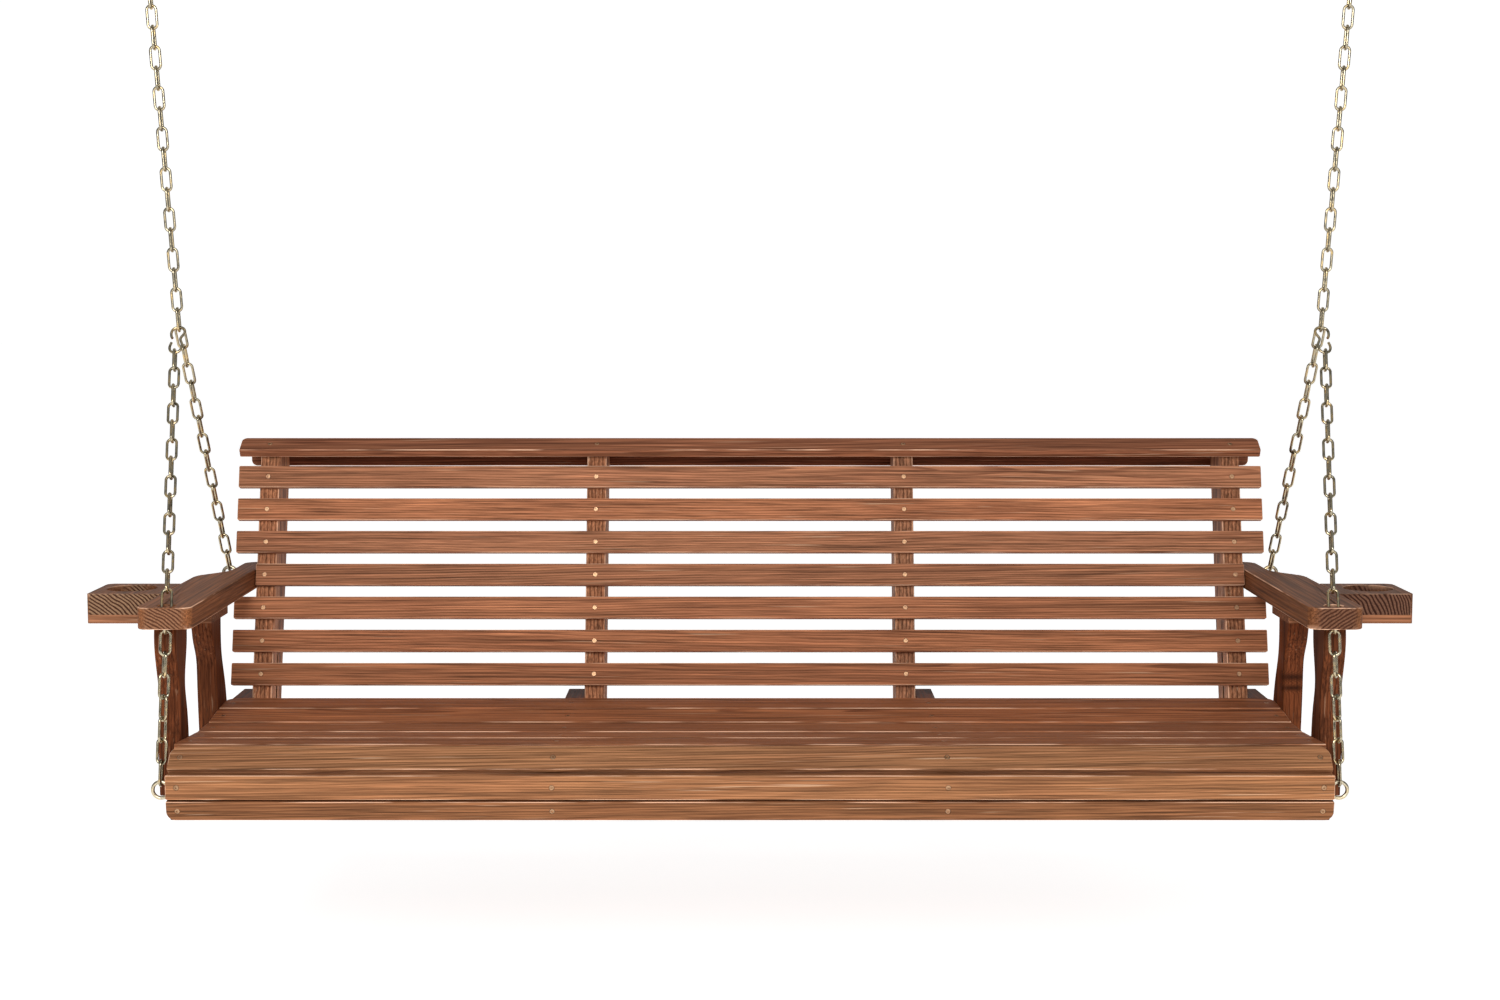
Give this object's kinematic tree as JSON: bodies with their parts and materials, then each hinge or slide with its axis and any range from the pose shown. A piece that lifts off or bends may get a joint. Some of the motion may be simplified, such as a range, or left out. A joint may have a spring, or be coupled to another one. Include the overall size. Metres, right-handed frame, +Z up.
{
  "type": "porch swing",
  "caption": "Slatted wooden porch swing with a rolled top, level arms with cup holders and wavy posts, hung on link chains from ceiling eyes.",
  "frame": {"origin": "on the ceiling plane, midway between the two ceiling eye studs", "axes": "+X along the bench to a sitter's left, +Y to the back of the bench, +Z up"},
  "size_m": [2.176, 0.6926, 1.42],
  "materials": {
    "slat_wood": "stained pine, satin, fine long grain",
    "frame_wood": "stained pine, satin, planed two-by stock",
    "chain_steel": "yellow zinc plated",
    "fixing_steel": "yellow zinc plated",
    "screw_steel": "yellow passivated"
  },
  "bodies": {
    "ceiling_eyes": {"ceiling_eye_right": "fixing_steel", "ceiling_eye_left": "fixing_steel"},
    "upper_chains": {"upper_chain_right": "chain_steel", "upper_chain_left": "chain_steel"},
    "bench": {"seat_slat_1": "slat_wood", "seat_slat_2": "slat_wood", "seat_slat_3": "slat_wood", "seat_slat_4": "slat_wood", "seat_slat_5": "slat_wood", "nosing_top": "slat_wood", "nosing_front": "slat_wood", "nosing_under": "slat_wood", "back_slat_1": "slat_wood", "back_slat_2": "slat_wood", "back_slat_3": "slat_wood", "back_slat_4": "slat_wood", "back_slat_5": "slat_wood", "back_slat_6": "slat_wood", "back_slat_7": "slat_wood", "crest_board": "slat_wood", "roll_top_board": "slat_wood", "roll_rear_board": "slat_wood", "seat_support_right_outer": "frame_wood", "seat_support_right_inner": "frame_wood", "back_strut_right_outer": "frame_wood", "back_strut_right_inner": "frame_wood", "front_post_right": "frame_wood", "rear_post_right": "frame_wood", "arm_right": "frame_wood", "cup_board_right": "frame_wood", "cup_base_right": "frame_wood", "front_eye_right": "fixing_steel", "rear_eye_right": "fixing_steel", "rear_chain_right": "chain_steel", "s_hook_right": "chain_steel", "front_chain_right": "chain_steel", "drop_chain_right": "chain_steel", "seat_support_left_outer": "frame_wood", "seat_support_left_inner": "frame_wood", "back_strut_left_outer": "frame_wood", "back_strut_left_inner": "frame_wood", "front_post_left": "frame_wood", "rear_post_left": "frame_wood", "arm_left": "frame_wood", "cup_board_left": "frame_wood", "cup_base_left": "frame_wood", "front_eye_left": "fixing_steel", "rear_eye_left": "fixing_steel", "rear_chain_left": "chain_steel", "s_hook_left": "chain_steel", "front_chain_left": "chain_steel", "drop_chain_left": "chain_steel", "seat_screws": "screw_steel", "back_screws": "screw_steel", "cup_base_screws": "screw_steel", "carriage_bolts": "fixing_steel", "nuts_and_washers": "fixing_steel"}
  },
  "joints": [
    {"name": "swing", "type": "hinge", "parent": "ceiling_eyes", "child": "upper_chains", "pos_m": [0, 0, -0.044], "axis": [1, 0, 0], "range_deg": [-20, 20]},
    {"name": "bench_rock", "type": "hinge", "parent": "upper_chains", "child": "bench", "pos_m": [0, 0, -0.605], "axis": [1, 0, 0], "range_deg": [-8, 8]}
  ]
}
